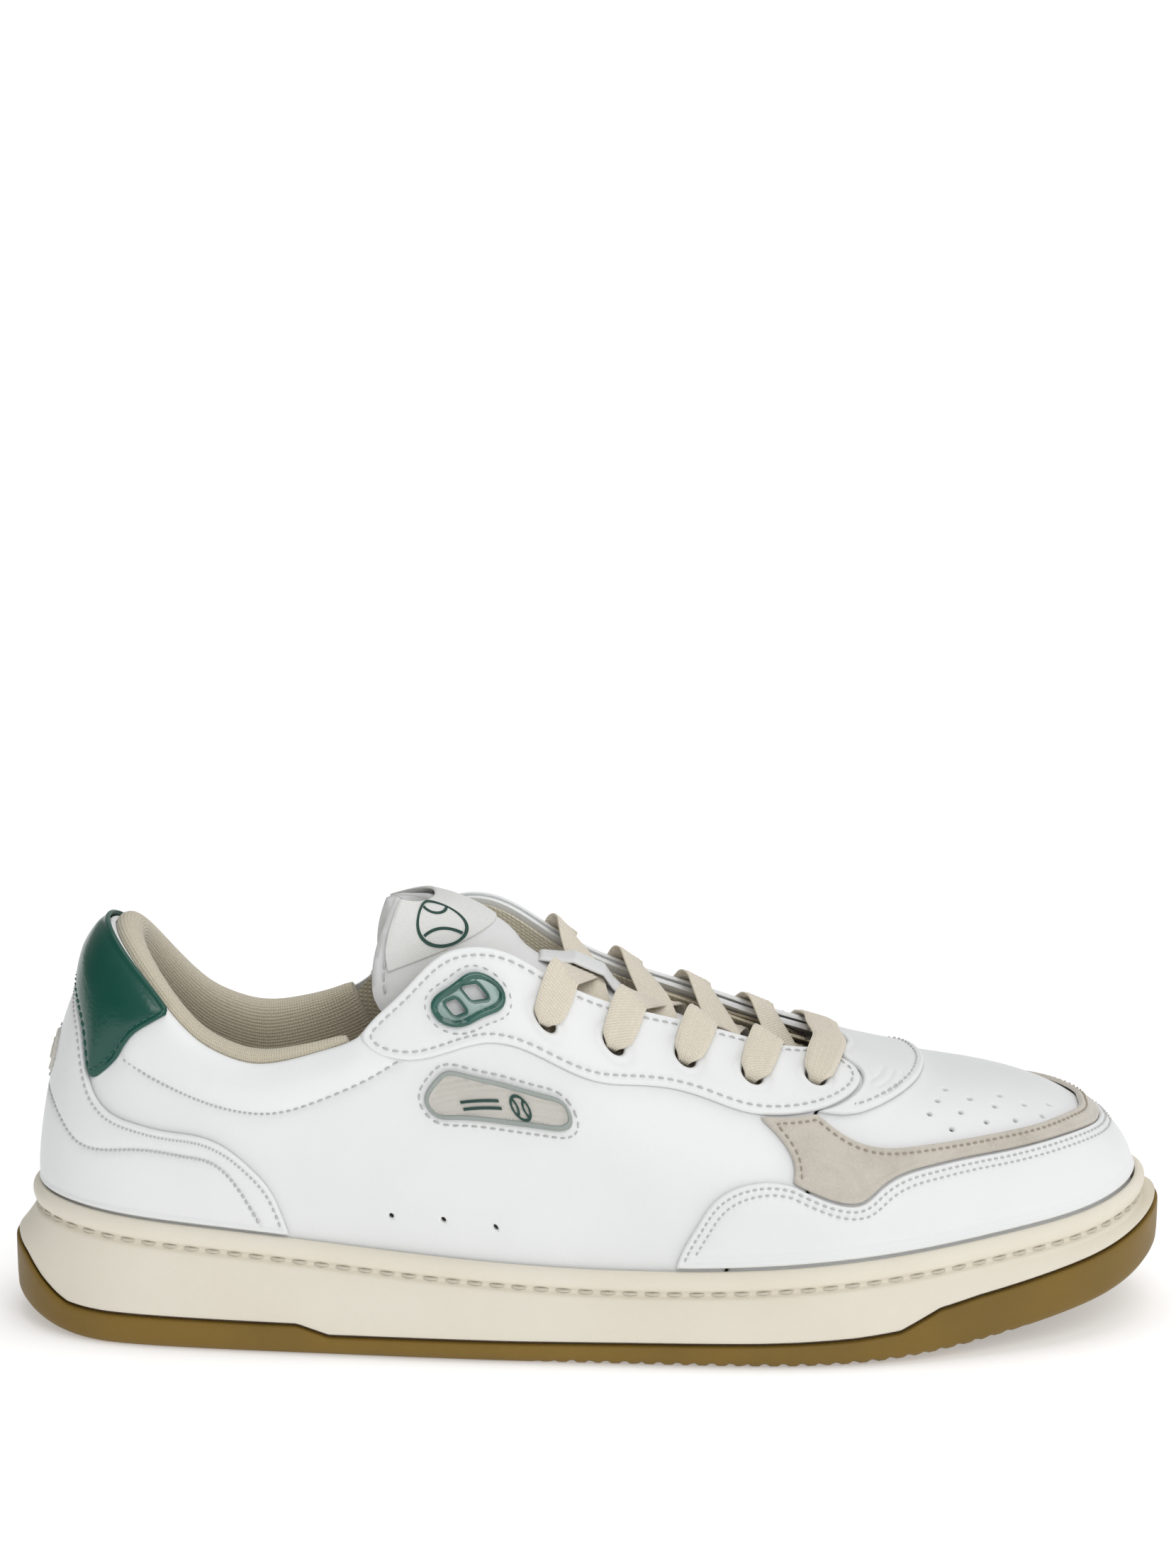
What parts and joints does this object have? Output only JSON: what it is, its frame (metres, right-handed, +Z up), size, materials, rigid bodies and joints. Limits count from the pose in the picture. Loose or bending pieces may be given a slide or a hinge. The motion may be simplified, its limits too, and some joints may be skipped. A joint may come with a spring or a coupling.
{
  "type": "court shoe",
  "caption": "Low-cut laced court shoe for the right foot: leather upper with overlays, padded tongue and collar, rubber cupsole and gum outsole.",
  "frame": {"origin": "centre of the bounding box at ground level", "axes": "+X towards the toe, +Z up, -Y towards the lateral side"},
  "size_m": [0.295, 0.1098, 0.114],
  "materials": {
    "gum_rubber": "satin",
    "cream_rubber": "matte",
    "white_leather": "smooth",
    "suede": "napped",
    "green_leather": "glossy",
    "green_moulding": "gloss",
    "lining_textile": "woven",
    "tongue_leather": "smooth",
    "label_textile": "woven",
    "badge_rubber": "ribbed",
    "white_foam": "foam",
    "board": "fibre board",
    "lace_cotton": "ribbed weave",
    "aglet_plastic": "gloss"
  },
  "bodies": {
    "shoe": {"aglet_lateral": "aglet_plastic", "aglet_medial": "aglet_plastic", "buckle_lateral": "green_moulding", "buckle_medial": "green_moulding", "collar_foam": "white_foam", "collar_lining": "lining_textile", "cupsole": "cream_rubber", "eyelet_tape_lateral": "board", "eyelet_tape_medial": "board", "eyestay_lateral": "white_leather", "eyestay_medial": "white_leather", "heel_badge": "badge_rubber", "heel_counter": "white_leather", "heel_stiffener": "board", "heel_tab": "green_leather", "lace": "lace_cotton", "lace_keeper": "tongue_leather", "lasting_board": "board", "midsole_foam": "white_foam", "mudguard": "white_leather", "outsole": "gum_rubber", "quarter_lateral": "white_leather", "quarter_lining_lateral": "lining_textile", "quarter_lining_medial": "lining_textile", "quarter_medial": "white_leather", "side_badge_lateral": "badge_rubber", "side_badge_medial": "badge_rubber", "sockliner": "lining_textile", "suede_wing": "suede", "throat_strap": "white_leather", "toe_puff": "board", "tongue_face": "tongue_leather", "tongue_foam": "white_foam", "tongue_lining": "lining_textile", "vamp": "white_leather", "vamp_lining": "lining_textile"},
    "tongue_flap": {"tongue_top_face": "tongue_leather", "tongue_top_foam": "white_foam", "tongue_top_lining": "lining_textile", "tongue_label": "label_textile"}
  },
  "joints": [
    {"name": "tongue_fold", "type": "hinge", "parent": "shoe", "child": "tongue_flap", "pos_m": [-0.0188, 0, 0.0965], "axis": [0, 1, 0], "range_deg": [-8, 6], "stiffness_Nm_per_rad": 0.4}
  ]
}
